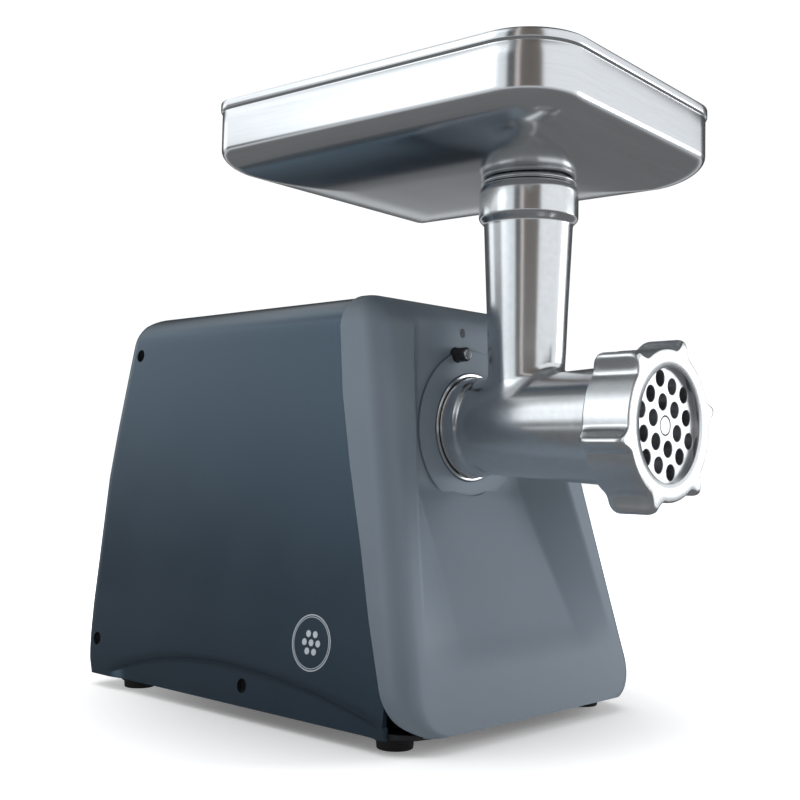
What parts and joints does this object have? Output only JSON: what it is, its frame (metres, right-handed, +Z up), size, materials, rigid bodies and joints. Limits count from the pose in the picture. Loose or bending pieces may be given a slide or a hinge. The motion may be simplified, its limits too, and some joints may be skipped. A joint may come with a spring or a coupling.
{
  "type": "electric meat grinder",
  "caption": "Countertop electric meat grinder: tapered motor body, cast head with feed tube, lobed ring nut, perforated plate and a flat feeding tray on top.",
  "frame": {"origin": "on the surface the feet stand on, in the middle plane of the motor body, 176.35 mm behind the ring nut's front face", "axes": "+Z up, -Y towards the grinding head and its plate, +X to the switch side"},
  "size_m": [0.2041, 0.3559, 0.3386],
  "materials": {
    "panel": "satin moulded plastic, blue-black",
    "cover": "fine satin moulded plastic, mid grey",
    "casting": "polished casting",
    "stainless": "satin stainless sheet",
    "black": "black moulded plastic",
    "rubber": "moulded rubber",
    "steel": "machined steel",
    "brass": "sintered bronze and brass",
    "copper": "enamelled copper",
    "nylon": "natural nylon",
    "carbon": "pressed carbon",
    "reset": "red moulded plastic"
  },
  "bodies": {
    "housing": {"base_plate": "black", "brush_holder_left": "brass", "brush_holder_right": "brass", "brush_left": "carbon", "brush_right": "carbon", "cord_inlet": "black", "field_coil_lower": "copper", "field_coil_upper": "copper", "foot_front_left": "rubber", "foot_front_right": "rubber", "foot_rear_left": "rubber", "foot_rear_right": "rubber", "foot_screw_front_left": "steel", "foot_screw_front_right": "steel", "foot_screw_rear_left": "steel", "foot_screw_rear_right": "steel", "front_cover": "cover", "gearbox_cover": "casting", "gearbox_housing": "casting", "housing_left": "panel", "housing_right": "panel", "housing_screw_left_1": "black", "housing_screw_left_2": "black", "housing_screw_left_3": "black", "housing_screw_right_1": "black", "housing_screw_right_2": "black", "housing_screw_right_3": "black", "motor_bearing_front": "steel", "motor_bearing_rear": "steel", "motor_bolt_left": "steel", "motor_bolt_right": "steel", "motor_bracket_front": "casting", "motor_bracket_rear": "casting", "motor_stator": "steel", "rear_vent": "black", "socket_ring": "stainless", "spindle_bearing": "brass", "switch_bezel": "black"},
    "spindle": {"output_gear": "steel"},
    "auger": {"auger": "casting", "knife": "steel"},
    "idler_a": {"idler_gear_a": "steel"},
    "idler_b": {"idler_gear_b": "nylon"},
    "armature": {"armature_core": "steel", "armature_shaft": "steel", "commutator": "copper", "cooling_fan": "black"},
    "lock_button": {"lock_button": "black", "lock_spring": "steel"},
    "head": {"grinder_head": "casting", "head_bush": "nylon", "plate_key": "steel"},
    "plate": {"grinder_plate": "steel"},
    "ring_nut": {"ring_nut": "casting"},
    "tray": {"tray": "stainless", "tray_spigot": "stainless"},
    "power_rocker": {"power_rocker": "black"},
    "reverse_rocker": {"reverse_rocker": "black"},
    "reset_button": {"reset_button": "reset"}
  },
  "joints": [
    {"name": "motor_spin", "type": "hinge", "parent": "housing", "child": "armature", "pos_m": [0, 0.1, 0.05528], "axis": [0, 1, 0], "continuous": true},
    {"name": "idler_b_spin", "type": "hinge", "parent": "housing", "child": "idler_b", "pos_m": [-0.002, 0.05, 0.08334], "axis": [0, 1, 0], "continuous": true},
    {"name": "idler_a_spin", "type": "hinge", "parent": "housing", "child": "idler_a", "pos_m": [0.006, 0.05, 0.11612], "axis": [0, 1, 0], "continuous": true},
    {"name": "spindle_spin", "type": "hinge", "parent": "housing", "child": "spindle", "pos_m": [0, 0.05, 0.15946], "axis": [0, 1, 0], "continuous": true},
    {"name": "auger_spin", "type": "hinge", "parent": "housing", "child": "auger", "pos_m": [0, -0.1, 0.15946], "axis": [0, 1, 0], "continuous": true},
    {"name": "head_turn", "type": "hinge", "parent": "housing", "child": "head", "pos_m": [0, -0.04, 0.15946], "axis": [0, 1, 0], "range_deg": [0, 45]},
    {"name": "plate_travel", "type": "slide", "parent": "head", "child": "plate", "axis": [0, -1, 0], "range_m": [0, 0.009]},
    {"name": "ring_nut_turn", "type": "hinge", "parent": "plate", "child": "ring_nut", "pos_m": [0, -0.163, 0.15946], "axis": [0, -1, 0], "range_deg": [0, 1080]},
    {"name": "tray_lift", "type": "slide", "parent": "head", "child": "tray", "axis": [0, 0, 1], "range_m": [0, 0.04]},
    {"name": "lock_press", "type": "slide", "parent": "housing", "child": "lock_button", "axis": [0, 1, 0], "range_m": [0, 0.004], "stiffness_N_per_m": 600, "springref_m": -0.002, "deforming": ["lock_spring"]},
    {"name": "power_switch", "type": "hinge", "parent": "housing", "child": "power_rocker", "pos_m": [0.08311, 0.073, 0.12767], "axis": [0, -1, 0], "range_deg": [0, 16]},
    {"name": "reverse_switch", "type": "hinge", "parent": "housing", "child": "reverse_rocker", "pos_m": [0.08311, 0.096, 0.12767], "axis": [0, -1, 0], "range_deg": [0, 16]},
    {"name": "reset_press", "type": "slide", "parent": "housing", "child": "reset_button", "axis": [-0.994, 0, -0.1098], "range_m": [0, 0.002], "stiffness_N_per_m": 500, "springref_m": -0.002}
  ],
  "couplings": [
    {"joint": "idler_b_spin", "follows": "motor_spin", "ratio": -0.25},
    {"joint": "idler_a_spin", "follows": "motor_spin", "ratio": 0.0625},
    {"joint": "spindle_spin", "follows": "motor_spin", "ratio": -0.015625},
    {"joint": "auger_spin", "follows": "motor_spin", "ratio": -0.015625},
    {"joint": "plate_travel", "follows": "ring_nut_turn", "m_per_rad": 0.000477}
  ]
}
